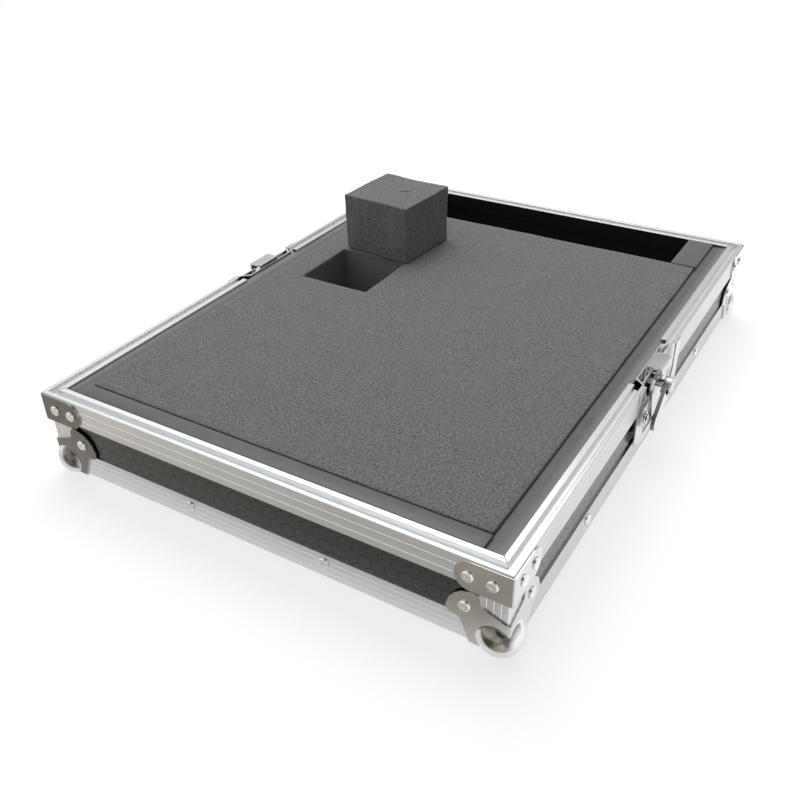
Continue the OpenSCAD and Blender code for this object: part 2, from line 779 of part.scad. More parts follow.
spindle(-1);  // left_spindle
lever_pin(-1);  // left_lever_pin
lever(-1);  // left_lever
foam_pad();
foam_strip_front();
foam_strip_side(-1);  // foam_strip_left
foam_strip_side(1);  // foam_strip_right
end_block(-1);  // end_block_left
end_block(1);  // end_block_right
pluck_foam();
plucked_block();
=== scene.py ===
"""Looks of the mixer case tray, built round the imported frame. Lengths are in metres, in the CAD's frame."""
import math
import bpy
import bmesh
from mathutils import Matrix, Vector, noise


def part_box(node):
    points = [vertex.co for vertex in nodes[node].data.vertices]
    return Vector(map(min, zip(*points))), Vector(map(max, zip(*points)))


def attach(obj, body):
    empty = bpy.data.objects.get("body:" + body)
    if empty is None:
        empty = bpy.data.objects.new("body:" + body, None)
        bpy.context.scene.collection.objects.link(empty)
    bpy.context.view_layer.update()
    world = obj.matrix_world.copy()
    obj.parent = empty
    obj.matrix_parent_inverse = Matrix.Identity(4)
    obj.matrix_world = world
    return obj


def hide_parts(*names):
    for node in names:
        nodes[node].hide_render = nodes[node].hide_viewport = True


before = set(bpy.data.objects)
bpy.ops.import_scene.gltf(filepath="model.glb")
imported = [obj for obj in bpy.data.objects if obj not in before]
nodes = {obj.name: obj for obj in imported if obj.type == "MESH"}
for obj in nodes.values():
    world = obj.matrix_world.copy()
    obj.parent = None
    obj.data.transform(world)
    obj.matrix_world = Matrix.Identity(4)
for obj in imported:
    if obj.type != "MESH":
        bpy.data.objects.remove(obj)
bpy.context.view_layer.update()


def mm(value):
    return value / 1000


# Sizes that scene.py shares with the CAD. The case's outer faces are at OUT_X, OUT_Y and OUT_Z.
CELL = mm(19.5)
BLOCK_TURN = math.radians(-4.3)
RIM_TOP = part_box("rim_front")[1].z
OUT_X, OUT_Y, OUT_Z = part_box("base_panel")[1].x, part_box("base_panel")[1].y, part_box("base_panel")[0].z
BALL_R = mm(17.5)
ball_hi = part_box("ball_corner_back_right")[1]
BALL_AT = (ball_hi.x - BALL_R, ball_hi.y - BALL_R, BALL_R)  # the middle of the ball at the back right

X, Y, Z = 0, 1, 2
BLACK = (0, 0, 0)


# Node graphs

class Graph:
    """A node tree, with short names for the nodes used here."""

    def __init__(self, tree):
        self.tree = tree

    def node(self, kind):
        return self.tree.nodes.new("ShaderNode" + kind)

    def put(self, socket, value):
        if isinstance(value, bpy.types.NodeSocket):
            self.tree.links.new(value, socket)
        elif isinstance(value, (tuple, list, Vector)) and len(value) == 3 and socket.type == "RGBA":
            socket.default_value = (*value, 1)
        else:
            socket.default_value = value

    def math(self, kind, a, b=0.0, c=0.0):
        n = self.node("Math")
        n.operation = kind
        for socket, value in zip(n.inputs, (a, b, c)):
            self.put(socket, value)
        return n.outputs[0]

    def plus(self, a, b):
        return self.math("ADD", a, b)

    def minus(self, a, b):
        return self.math("SUBTRACT", a, b)

    def times(self, a, b):
        return self.math("MULTIPLY", a, b)

    def size(self, a):
        return self.math("ABSOLUTE", a)

    def below(self, a, b):
        return self.math("LESS_THAN", a, b)

    def vector(self, kind, a, b=(0, 0, 0), c=(0, 0, 0)):
        n = self.node("VectorMath")
        n.operation = kind
        for socket, value in zip(n.inputs, (a, b, c)):
            self.put(socket, value)
        return n.outputs["Value" if kind in ("DOT_PRODUCT", "LENGTH", "DISTANCE") else "Vector"]

    def split(self, vector):
        n = self.node("SeparateXYZ")
        self.put(n.inputs[0], vector)
        return n.outputs

    def span(self, value, lo, hi, to_lo=0.0, to_hi=1.0, smooth=False):
        """Maps lo..hi to to_lo..to_hi, and stops there."""
        n = self.node("MapRange")
        n.interpolation_type = "SMOOTHSTEP" if smooth else "LINEAR"
        for key, v in (("Value", value), ("From Min", lo), ("From Max", hi), ("To Min", to_lo), ("To Max", to_hi)):
            self.put(n.inputs[key], v)
        return n.outputs["Result"]

    def blend(self, factor, a, b):
        n = self.node("Mix")
        n.data_type = "RGBA"
        self.put(n.inputs["Factor"], factor)
        self.put(n.inputs[6], a)
        self.put(n.inputs[7], b)
        return n.outputs[2]

    def seen_directly(self):
        """1 for camera, glossy and transmission rays, which see the pale background at full strength."""
        path = self.node("LightPath").outputs
        total = path["Is Camera Ray"]
        for kind in ("Is Glossy Ray", "Is Transmission Ray"):
            total = self.math("MAXIMUM", total, path[kind])
        return total


class Surface(Graph):
    """A material with one Principled shader."""

    def __init__(self, name):
        self.material = bpy.data.materials.new(name)
        self.material.use_nodes = True
        super().__init__(self.material.node_tree)
        self.tree.nodes.clear()
        self.out = self.node("OutputMaterial")
        self.shader = self.node("BsdfPrincipled")
        self.put(self.out.inputs["Surface"], self.shader.outputs[0])
        place = self.node("TexCoord").outputs
        self.where = place["Object"]
        self.at = self.split(self.where)
        self.faces = self.split(place["Normal"])
        # The case is nearly the same left and right, front and back, so many places count from its middle
        self.mirrored = self.vector("ABSOLUTE", self.where)
        self.off_middle = self.split(self.mirrored)

    def set(self, **values):
        for key, value in values.items():
            self.put(self.shader.inputs[key.replace("_", " ")], value)

    def noise(self, scale, detail, rough, stretch=None, distortion=0.0):
        n = self.node("TexNoise")
        n.inputs["Scale"].default_value = scale
        n.inputs["Detail"].default_value = detail
        n.inputs["Roughness"].default_value = rough
        n.inputs["Distortion"].default_value = distortion
        self.put(n.inputs["Vector"], self.vector("MULTIPLY", self.where, stretch) if stretch else self.where)
        return n.outputs["Fac"]

    def pores(self, scale):
        n = self.node("TexVoronoi")
        n.inputs["Scale"].default_value = scale
        self.put(n.inputs["Vector"], self.where)
        return n.outputs["Distance"]

    def bump(self, height, distance, strength, normal=None):
        n = self.node("Bump")
        n.inputs["Strength"].default_value = strength
        n.inputs["Distance"].default_value = distance
        self.put(n.inputs["Height"], height)
        if normal is not None:
            self.put(n.inputs["Normal"], normal)
        return n.outputs[0]

    def rounded(self, radius):
        n = self.node("Bevel")
        n.samples = 4
        n.inputs["Radius"].default_value = radius
        return n.outputs[0]

    def turned_away(self, normal):
        """0 where the surface faces the eye, 1 where it is seen edge on."""
        n = self.node("LayerWeight")
        n.inputs["Blend"].default_value = 0.5
        self.put(n.inputs["Normal"], normal)
        return n.outputs["Facing"]

    def openness(self, reach):
        """1 on open surfaces, towards 0 in crevices narrower than reach."""
        n = self.node("AmbientOcclusion")
        n.samples = 8
        n.inputs["Distance"].default_value = reach
        return n.outputs["AO"]


# Aluminium extrusions

ALU_DARK, ALU_LIGHT, ALU_STAIN = (0.64, 0.65, 0.655), (0.735, 0.745, 0.75), (0.60, 0.60, 0.59)
# The rim's groove gets a painted reflection, pale and bluish; the mitre line is a dark joint
GROOVE_REFLECTION_COLOUR, MITRE_COLOUR = (0.95, 0.96, 0.97), (0.05, 0.05, 0.05)
LINED_COLOUR = (0.024, 0.024, 0.024)
# Painted shade on the pieces along y: how far their colour goes towards black
SIDE_PAINTED_SHADE = 0.14

# The rim's section: its groove as middle and half size, and its inner leg, in from the outer face and down from the top
GROOVE_IN, GROOVE_HALF_WIDTH = mm(2.75), mm(2.9)
GROOVE_DOWN, GROOVE_HALF_DEPTH = mm(3.4), mm(2.6)
INNER_LEG_IN, INNER_LEG_DOWN = mm(10), mm(1.2)
MITRE_LINE, MITRE_FADE, MITRE_END = mm(0.3), mm(0.7), mm(6)


def extrusion(name, along):
    """Mill-finish aluminium with fine die lines along one axis, a dark hairline where two rims meet, a painted
    reflection in the rim's groove and painted shade on the pieces along y.
    """
    g = Surface(name)

    def drawn(across, lengthwise, rough):
        stretch = [across] * 3
        stretch[along] = lengthwise
        return g.noise(1, 2, rough, stretch=stretch)

    stain = g.noise(38, 4, 0.6)
    mixed = g.plus(g.times(drawn(900, 3, 0.6), 0.45), g.times(drawn(90, 1.5, 0.5), 0.55))
    tone = g.blend(g.span(mixed, 0.32, 0.68), ALU_DARK, ALU_LIGHT)
    tone = g.blend(g.span(stain, 0.5, 0.75, 0, 0.25), tone, ALU_STAIN)
    # Painted shade: the pieces along y are darker
    if along == Y:
        tone = g.blend(SIDE_PAINTED_SHADE, tone, BLACK)
    if along != Z:
        inset = g.minus((OUT_Y, OUT_X)[along], g.off_middle[1 - along])
        down = g.minus(RIM_TOP, g.at[Z])
        groove_reflection_mask = g.times(g.math("COMPARE", inset, GROOVE_IN, GROOVE_HALF_WIDTH),
                            g.math("COMPARE", down, GROOVE_DOWN, GROOVE_HALF_DEPTH))
        # Painted reflection: the groove is made paler
        tone = g.blend(g.times(groove_reflection_mask, 0.5), tone, GROOVE_REFLECTION_COLOUR)
        off_mitre = g.size(g.minus(g.minus(OUT_X, g.off_middle[X]), g.minus(OUT_Y, g.off_middle[Y])))
        mitre = g.times(g.span(off_mitre, MITRE_LINE, MITRE_FADE, 0.9, 0, smooth=True),
                        g.below(g.off_middle[X], OUT_X - MITRE_END))
        tone = g.blend(mitre, tone, MITRE_COLOUR)
    bare = 1.0
    if along == X:
        lined = g.times(g.math("GREATER_THAN", inset, INNER_LEG_IN), g.math("GREATER_THAN", down, INNER_LEG_DOWN))
        tone = g.blend(lined, tone, LINED_COLOUR)
        bare = g.minus(1.0, lined)
    g.set(Base_Color=tone, Metallic=bare, Specular_IOR_Level=g.times(bare, 0.5),
          Roughness=g.span(g.plus(mixed, g.times(stain, 0.4)), 0.4, 1.0, 0.24, 0.40),
          Normal=g.bump(mixed, mm(0.05), 0.35, g.rounded(mm(0.35))))
    return g.material


# Plated steel

# Colours of the painted reflection on the balls
BALL_REFLECTION_DARK, BALL_REFLECTION_LIGHT = (0.11, 0.105, 0.095), (0.32, 0.30, 0.26)
# Colour of the painted shade in crevices
CREVICE_SHADE_COLOUR = (0.05, 0.055, 0.06)
# Painted shade on the plates at the front left
FRONT_LEFT_WIDTH, FRONT_LEFT_SHADE = mm(60), 0.62


def corner_painted_light(g, colour, glance_sheen, turned):
    """Paints shade on the plates at the front left, and paints a reflection on the balls: a dark middle with a bright
    rim and flanks.
    """
    # Painted shade on the plates at the front left
    front_left_shade = g.times(g.below(g.at[X], FRONT_LEFT_WIDTH - OUT_X), g.below(g.faces[Y], -0.6))
    colour = g.blend(g.times(front_left_shade, FRONT_LEFT_SHADE), colour, BLACK)
    # Painted reflection on the balls: dark blotches in the middle, a painted highlight at the rim and flanks
    on_ball = g.span(g.vector("DISTANCE", g.mirrored, BALL_AT), BALL_R + mm(0.3), BALL_R + mm(0.9), 1, 0)
    rim = g.span(turned, 0.34, 0.43)
    flank_highlight = g.span(g.size(g.minus(g.off_middle[X], BALL_AT[X])), BALL_R * 0.62, BALL_R * 0.82)
    reflection_blotches = g.span(g.noise(85, 1, 0.4, distortion=0.6), 0.44, 0.66)
    shine = g.blend(g.math("MAXIMUM", rim, flank_highlight), g.blend(reflection_blotches, BALL_REFLECTION_DARK, BALL_REFLECTION_LIGHT), glance_sheen)
    return g.blend(on_ball, colour, shine)


def plated(name, dark, light, glance_sheen, rough, peel=mm(0.04), crevice_shade=0.0, reach=mm(5), corner=False):
    """Plated pressed steel: rounded edges, faint orange peel, haze and small scratches, with a painted sheen that makes
    it paler at a low angle and painted shade in crevices where asked.
    """
    g = Surface(name)
    edges = g.rounded(mm(0.3))
    haze = g.noise(55, 4, 0.6)
    grain = g.noise(420, 3, 0.6)
    scratches = g.span(g.noise(1, 2, 0.5, stretch=(260, 90, 1500), distortion=0.6), 0.68, 0.74)
    turned = g.turned_away(edges)
    # Painted sheen: the colour turns paler where the surface is seen edge on
    colour = g.blend(g.span(turned, 0.56, 0.84), g.blend(g.span(haze, 0.3, 0.7), dark, light), glance_sheen)
    # Painted shade at the front left and a painted reflection on the balls
    if corner:
        colour = corner_painted_light(g, colour, glance_sheen, turned)
    if crevice_shade:
        # Painted shade: darker in crevices, where ambient occlusion finds little open space
        colour = g.blend(g.span(g.openness(reach), 0.15, 0.75, crevice_shade, 0), colour, CREVICE_SHADE_COLOUR)
    g.set(Base_Color=colour, Metallic=1.0,
          Roughness=g.plus(g.span(haze, 0.3, 0.75, rough, rough + 0.10), g.times(scratches, 0.12)),
          Normal=g.bump(g.plus(haze, g.times(grain, 0.25)), peel, 0.6, edges))
    return g.material


# Laminate

HEXAGON_PITCH = mm(11.4)
LAMINATE_COLOUR, SEAM_COLOUR, DUST_COLOUR = (0.006, 0.0075, 0.0075), (0.001, 0.001, 0.001), (0.018, 0.018, 0.0175)
LAMINATE_DEPTH = mm(1)


def hexagon_inside(g, u, v):
    """How far a point is inside its hexagon, in pitches: 0 on the seam, 0.5 in the middle."""
    half = (0.5, math.sqrt(3) / 2, 1)

    def wrap(vector):
        return g.vector("WRAP", vector, half, tuple(-h for h in half))

    pair = g.node("CombineXYZ")
    for socket, axis in zip(pair.inputs, (u, v)):
        g.put(socket, g.math("DIVIDE", g.at[axis], HEXAGON_PITCH))
    spot = pair.outputs[0]
    a = wrap(spot)
    b = wrap(g.vector("SUBTRACT", spot, half[:2] + (0,)))
    nearest = g.node("Mix")
    nearest.data_type = "VECTOR"
    g.put(nearest.inputs["Factor"], g.below(g.vector("DOT_PRODUCT", a, a), g.vector("DOT_PRODUCT", b, b)))
    g.put(nearest.inputs[4], g.vector("ABSOLUTE", b))
    g.put(nearest.inputs[5], g.vector("ABSOLUTE", a))
    q = nearest.outputs[1]
    return g.minus(0.5, g.math("MAXIMUM", g.vector("DOT_PRODUCT", q, half[:2] + (0,)), g.split(q)[X]))


def laminate(name, u, v, face_axis, face_at, outward):
    """Black laminate with a low embossed hexagon pattern on its outer face."""
    g = Surface(name)
    inside = hexagon_inside(g, u, v)
    shown = g.math("GREATER_THAN", g.times(g.minus(g.at[face_axis], face_at), outward), -LAMINATE_DEPTH)
    seam = g.times(g.span(inside, 0.008, 0.034, 1, 0, smooth=True), shown)
    pad = g.times(g.span(inside, 0.0, 0.07, 0, 1, smooth=True), shown)
    leather = g.noise(900, 3, 0.6)
    dust = g.noise(30, 4, 0.6)
    colour = g.blend(seam, LAMINATE_COLOUR, SEAM_COLOUR)
    colour = g.blend(g.span(dust, 0.45, 0.8, 0, 0.35), colour, DUST_COLOUR)
    g.set(Base_Color=g.blend(shown, LINED_COLOUR, colour), IOR=1.78,
          Roughness=g.span(g.plus(leather, g.times(seam, 1.2)), 0.3, 1.3, 0.20, 0.36),
          Specular_IOR_Level=g.times(g.math("MULTIPLY_ADD", shown, 0.40, 0.08),
                                     g.math("MULTIPLY_ADD", seam, -0.74, 1.0)),
          Normal=g.bump(leather, mm(0.004), 0.4, g.bump(pad, mm(0.10), 0.4)))
    return g.material


# Foam

PORES_PER_M = 900
CUT_CORE, CUT_FADE, CUT_WANDER = mm(0.10), mm(0.42), mm(0.9)
# Colour of the pulled block's strands and of the painted highlight on its upright edges, and where that highlight lies
STRAND_AND_HIGHLIGHT_COLOUR, WALL_COLOUR = (0.34, 0.33, 0.32), (0.30, 0.30, 0.295)
CORNER_HIGHLIGHT_FROM, CORNER_HIGHLIGHT_TO = mm(79), mm(84.5)
# Where the painted light from the rim lies on the side strips, and its colour
RIM_BOUNCE_FROM, RIM_BOUNCE_TO, RIM_BOUNCE_ABOVE, RIM_BOUNCE_COLOUR = mm(198), mm(204.5), mm(80), (0.25, 0.25, 0.255)


def foam(name, dark, light, contrast=1.0, cells_from=None, sheen=0.25, pulled=False, walls_below=None):
    """Open-cell foam with fine pores and a cloudy tone. cells_from scores it into cells, with thin cut lines that
    show here and there; pulled gives it strands and a painted highlight on its upright edges; walls_below lightens cut
    walls."""
    g = Surface(name)
    speck = g.noise(PORES_PER_M * 0.55, 3, 0.75)
    cloud = g.noise(26, 4, 0.6)
    fine = g.plus(g.times(g.pores(PORES_PER_M), 0.45), g.times(speck, 1.3))
    tone = g.plus(g.times(g.minus(fine, 0.84), contrast), g.times(g.minus(cloud, 0.5), 0.12))
    colour = g.blend(g.span(tone, -0.42, 0.42), dark, light)
    height = fine
    if cells_from:
        # The distance to the nearest cut; 100 cells are added so that FRACT sees no negative numbers
        near = []
        for axis, start in enumerate(cells_from):
            cell = g.math("DIVIDE", g.minus(g.at[axis], start), CELL)
            near.append(g.times(g.size(g.minus(g.math("FRACT", g.plus(cell, 100.5)), 0.5)), CELL))
        wander = g.times(g.minus(g.noise(70, 2, 0.5), 0.5), CUT_WANDER)
        cut = g.span(g.size(g.plus(g.math("MINIMUM", *near), wander)), CUT_CORE, CUT_FADE, 1, 0, smooth=True)
        cut = g.times(cut, g.span(g.noise(24, 3, 0.6), 0.50, 0.66))
        colour = g.blend(g.times(cut, 0.55), colour, tuple(c * 0.35 for c in dark))
        height = g.minus(fine, g.times(cut, 0.9))
    if pulled:
        upright = g.below(g.size(g.faces[Z]), 0.5)
        strands = g.span(g.noise(1, 3, 0.6, stretch=(160, 160, 22)), 0.52, 0.72)
        colour = g.blend(g.times(g.times(strands, upright), 0.40), colour, STRAND_AND_HIGHLIGHT_COLOUR)
        # Painted highlight on the upright faces near the flared corners
        edge = g.span(g.plus(g.off_middle[X], g.off_middle[Y]), CORNER_HIGHLIGHT_FROM, CORNER_HIGHLIGHT_TO)
        colour = g.blend(g.times(edge, g.times(upright, 0.55)), colour, STRAND_AND_HIGHLIGHT_COLOUR)
    if walls_below:
        deep = g.span(g.at[Z], walls_below - mm(2), walls_below - mm(8), 0, 0.55)
        colour = g.blend(deep, colour, WALL_COLOUR)
    g.set(Base_Color=colour, Roughness=g.span(speck, 0.2, 0.8, 0.85, 1.0), Specular_IOR_Level=0.2,
          Sheen_Weight=sheen, Sheen_Roughness=0.6, Normal=g.bump(height, mm(0.5), 0.6))
    return g.material


def lining(name, dark, light):
    """Smooth closed-cell foam with a skin: faint mottling, a soft shine, and painted light from the rim along its outer
    edge.
    """
    g = Surface(name)
    grain = g.noise(1500, 3, 0.6)
    mottle = g.noise(60, 4, 0.6)
    scuff = g.noise(1, 3, 0.6, stretch=(160, 40, 160))
    colour = g.blend(g.span(g.plus(mottle, g.times(grain, 0.5)), 0.45, 1.0), dark, light)
    # Painted light: the strips are paler along their outer edges beside the rim, above a height
    rim_bounce_light = g.span(g.off_middle[X], RIM_BOUNCE_FROM, RIM_BOUNCE_TO, 0, 0.85)
    colour = g.blend(g.times(rim_bounce_light, g.math("GREATER_THAN", g.at[Z], RIM_BOUNCE_ABOVE)), colour, RIM_BOUNCE_COLOUR)
    g.set(Base_Color=g.blend(g.span(scuff, 0.6, 0.8, 0, 0.3), colour, light),
          Roughness=g.span(mottle, 0.3, 0.7, 0.32, 0.44), Specular_IOR_Level=0.5,
          Normal=g.bump(g.plus(grain, g.times(mottle, 0.7)), mm(0.10), 0.5))
    return g.material


# Paint on the pieces that keep their CAD shape

def paint(names, material):
    for name in names:
        data = nodes[name].data
        data.materials.clear()
        data.materials.append(material)


for panel, axes in (("front", (X, Z, Y, -OUT_Y, -1)), ("back", (X, Z, Y, OUT_Y, 1)),
                    ("left", (Y, Z, X, -OUT_X, -1)), ("right", (Y, Z, X, OUT_X, 1)),
                    ("base", (X, Y, Z, OUT_Z, -1))):
    paint([panel + "_panel"], laminate("laminate_" + panel, *axes))

paint(["rim_front", "rim_back", "angle_front", "angle_back"], extrusion("extrusion_along_x", X))
paint(["rim_left_front", "rim_left_rear", "rim_right_front", "rim_right_rear", "angle_left", "angle_right"],
      extrusion("extrusion_along_y", Y))
paint([n for n in nodes if n.startswith("corner_angle")], extrusion("extrusion_along_z", Z))

# corner_steel carries painted shade on the front left plates and a painted reflection on the balls
corner_steel = plated("corner_steel", (0.46, 0.44, 0.41), (0.53, 0.51, 0.48), (0.72, 0.73, 0.745), 0.05, corner=True)
dish_steel = plated("dish_steel", (0.56, 0.565, 0.57), (0.64, 0.65, 0.66), (0.64, 0.65, 0.66), 0.14, crevice_shade=0.9)
latch_steel = plated("latch_steel", (0.46, 0.46, 0.45), (0.56, 0.56, 0.55), (0.50, 0.51, 0.52), 0.10, crevice_shade=0.9)
# The lever's steel is much darker than the latch's: painted shade
shaded_lever_steel = plated("shaded_lever_steel", (0.13, 0.14, 0.14), (0.22, 0.23, 0.23), (0.66, 0.67, 0.68), 0.12, crevice_shade=0.9)
rivet_steel = plated("rivet_steel", (0.70, 0.685, 0.675), (0.84, 0.825, 0.815), (0.88, 0.88, 0.89), 0.14,
                     peel=mm(0.03), crevice_shade=0.85, reach=mm(1.6))
pin_steel = plated("pin_steel", (0.22, 0.20, 0.16), (0.36, 0.33, 0.27), (0.50, 0.50, 0.48), 0.28)
paint([n for n in nodes if n.startswith(("ball_corner_", "brace_")) and not n.endswith("rivets")], corner_steel)
paint([n for n in nodes if n.endswith("rivets")], rivet_steel)
for side in ("left_", "right_"):
    paint([side + n for n in ("dish", "bridge")], dish_steel)
    paint([side + n for n in ("hook", "spindle")], latch_steel)
    paint([side + "lever"], shaded_lever_steel)
    paint([side + "lever_pin"], pin_steel)


# Tools for the foam pieces

LEAST_STEP = mm(0.2)
WAVE_LENGTH_MM, ROUGH_LENGTH_MM = 34, 5


def steps(low, high, pitch, fine=()):
    """Grid lines from low to high about a pitch apart, with closer ones round the places in fine."""
    count = max(1, round((high - low) / pitch))
    lines = [low + (high - low) * i / count for i in range(count + 1)]
    for place, width, gap in fine:
        inner = max(1, round(2 * width / gap))
        extra = [place - width + 2 * width * i / inner for i in range(inner + 1)]
        lines = [v for v in lines if abs(v - place) > width or v in (low, high)] + extra
    lines = sorted(v for v in lines if low <= v <= high)
    return [v for i, v in enumerate(lines) if i == 0 or v - lines[i - 1] > LEAST_STEP]


def with_edges(low, high, pitch, marks):
    """Grid lines as steps gives them, with exact ones at the marks."""
    lines = [v for v in steps(low, high, pitch) if all(abs(v - m) > pitch * 0.4 for m in marks)]
    return sorted(lines + list(marks))


def grid_solid(name, xs, ys, zs, filled=lambda x, y, z: True):
    """A closed mesh round the filled cells of a grid."""
    bm = bmesh.new()
    corners = {}

    def corner(i, j, k):
        if (i, j, k) not in corners:
            corners[i, j, k] = bm.verts.new((xs[i], ys[j], zs[k]))
        return corners[i, j, k]

    def has(i, j, k):
        if not (0 <= i < len(xs) - 1 and 0 <= j < len(ys) - 1 and 0 <= k < len(zs) - 1):
            return False
        return filled((xs[i] + xs[i + 1]) / 2, (ys[j] + ys[j + 1]) / 2, (zs[k] + zs[k + 1]) / 2)

    sides = (((1, 0, 0), ((1, 0, 0), (1, 1, 0), (1, 1, 1), (1, 0, 1))),
             ((-1, 0, 0), ((0, 0, 0), (0, 0, 1), (0, 1, 1), (0, 1, 0))),
             ((0, 1, 0), ((0, 1, 0), (0, 1, 1), (1, 1, 1), (1, 1, 0))),
             ((0, -1, 0), ((0, 0, 0), (1, 0, 0), (1, 0, 1), (0, 0, 1))),
             ((0, 0, 1), ((0, 0, 1), (1, 0, 1), (1, 1, 1), (0, 1, 1))),
             ((0, 0, -1), ((0, 0, 0), (0, 1, 0), (1, 1, 0), (1, 0, 0))))
    for i in range(len(xs) - 1):
        for j in range(len(ys) - 1):
            for k in range(len(zs) - 1):
                if not has(i, j, k):
                    continue
                for (di, dj, dk), quad in sides:
                    if not has(i + di, j + dj, k + dk):
                        bm.faces.new([corner(i + a, j + b, k + c) for a, b, c in quad])
    mesh = bpy.data.meshes.new(name)
    bm.to_mesh(mesh)
    bm.free()
    piece = bpy.data.objects.new(name, mesh)
    bpy.context.scene.collection.objects.link(piece)
    return piece


def soften(piece, edge, wave, rough, seed):
    """Rounds the cut edges and gives the faces the slight unevenness of cut foam, inwards only."""
    bevel = piece.modifiers.new("edge", "BEVEL")
    bevel.width = edge
    bevel.segments = 2
    bevel.limit_method = "ANGLE"
    bevel.angle_limit = math.radians(40)
    shape = piece.evaluated_get(bpy.context.evaluated_depsgraph_get())
    mesh = bpy.data.meshes.new_from_object(shape)
    piece.modifiers.clear()
    piece.data = mesh
    normals = [v.normal.copy() for v in mesh.vertices]
    for v, n in zip(mesh.vertices, normals):
        at = v.co * 1000
        low = noise.noise(at / WAVE_LENGTH_MM + Vector((seed, 3.1, 7.7)))
        high = noise.noise(at / ROUGH_LENGTH_MM + Vector((seed, 9.2, 1.3)))
        v.co += n * (low * wave + high * rough - (wave + rough) * 0.5)
    for face in mesh.polygons:
        face.use_smooth = True


def dress(piece, node, material, body):
    piece.data.materials.clear()
    piece.data.materials.append(material)
    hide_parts(node)
    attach(piece, body)


# The pick-and-pluck foam, with its pocket four cells wide and deep

POCKET_IN_X, POCKET_IN_Y, POCKET_CELLS = mm(31), mm(261), 4
FOAM_GRID, BLOCK_GRID, PAD_GRID, TEAR_GRID = mm(6), mm(3), mm(12), mm(0.9)
foam_lo, foam_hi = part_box("pluck_foam")
pocket_lo = Vector((foam_lo.x + POCKET_IN_X, foam_lo.y + POCKET_IN_Y, 0))
pocket_hi = pocket_lo + Vector((POCKET_CELLS * CELL, POCKET_CELLS * CELL, 0))
main_foam = foam("charcoal_foam", (0.068, 0.067, 0.065), (0.268, 0.265, 0.259), contrast=1.9,
                 cells_from=(pocket_lo.x, pocket_lo.y), walls_below=foam_hi.z)


def outside_pocket(x, y, z):
    return not (pocket_lo.x < x < pocket_hi.x and pocket_lo.y < y < pocket_hi.y)


body_foam = grid_solid(
    "pluck_foam_body",
    with_edges(foam_lo.x, foam_hi.x, FOAM_GRID, (pocket_lo.x, pocket_hi.x)),
    with_edges(foam_lo.y, foam_hi.y, FOAM_GRID, (pocket_lo.y, pocket_hi.y)),
    steps(foam_lo.z, foam_hi.z, FOAM_GRID),
    outside_pocket)
soften(body_foam, edge=mm(1.2), wave=mm(0.5), rough=mm(0.15), seed=1.0)

# Its right and front sides stand out a little, so that the joints beside them look as thin as in the photo
JOINT_FILL_X, JOINT_FILL_Y, SIDE_SKIN = mm(1.4), mm(0.8), mm(2)
for v in body_foam.data.vertices:
    if v.co.x > foam_hi.x - SIDE_SKIN:
        v.co.x += JOINT_FILL_X
    if v.co.y < foam_lo.y + SIDE_SKIN:
        v.co.y -= JOINT_FILL_Y
dress(body_foam, "pluck_foam", main_foam, "tray")


# The plucked block, made about its own middle, so that its cut lines turn with it

block_foam = foam("plucked_foam", (0.070, 0.069, 0.067), (0.270, 0.266, 0.260), contrast=1.6, pulled=True,
                  cells_from=(-POCKET_CELLS / 2 * CELL, -POCKET_CELLS / 2 * CELL))
block_lo, block_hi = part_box("plucked_block")
block_mid = (block_lo + block_hi) / 2
half_side = (block_hi.x - block_lo.x) / (math.cos(abs(BLOCK_TURN)) + math.sin(abs(BLOCK_TURN))) / 2
half_height = (block_hi.z - block_lo.z) / 2
TEAR_AT, TEAR_WAY = Vector((mm(9), mm(2), 0)), Vector((0.87, 0.5, 0))
TEAR_HALF_LENGTH, TEAR_DEPTH, TEAR_WIDTH = mm(6.5), mm(2.4), mm(0.7)
LIP_HEIGHT, LIP_AT, LIP_WIDTH = mm(0.5), mm(1.9), mm(1.2)
TOP_SKIN = mm(2.5)
FLARE, STRETCH = 0.045, mm(2.2)

plucked = grid_solid(
    "plucked_block_foam",
    steps(-half_side, half_side, BLOCK_GRID, ((TEAR_AT.x, mm(8), TEAR_GRID),)),
    steps(-half_side, half_side, BLOCK_GRID, ((TEAR_AT.y, mm(5), TEAR_GRID),)),
    steps(-half_height, half_height, BLOCK_GRID))
soften(plucked, edge=mm(1.3), wave=mm(0.9), rough=mm(0.3), seed=5.0)
for v in plucked.data.vertices:
    if v.co.z > half_height - TOP_SKIN:
        away = Vector((v.co.x, v.co.y, 0)) - TEAR_AT
        along = away.dot(TEAR_WAY)
        across = away.dot(Vector((-TEAR_WAY.y, TEAR_WAY.x, 0)))
        reach = max(0.0, 1 - (along / TEAR_HALF_LENGTH) ** 2)
        if reach > 0:
            v.co.z -= TEAR_DEPTH * reach * math.exp(-(across / TEAR_WIDTH) ** 2)
            v.co.z += LIP_HEIGHT * reach * math.exp(-((across - LIP_AT) / LIP_WIDTH) ** 2)

# It was stretched upwards and to the left as it was pulled out
for v in plucked.data.vertices:
    up = (v.co.z + half_height) / (2 * half_height)
    if v.co.x < 0:
        v.co.x *= 1 + FLARE * up
    v.co.z += STRETCH * up
plucked.location = block_mid
plucked.rotation_euler = (0, 0, BLOCK_TURN)
bpy.context.view_layer.update()
dress(plucked, "plucked_block", block_foam, "plucked_block")


# The lining strips, the end blocks and the pad

SWELL_DOWN, SWELL_BEND_DOWN, SWELL_CLEAR, DISH_CLEAR = mm(2.2), mm(7), mm(0.5), mm(0.4)


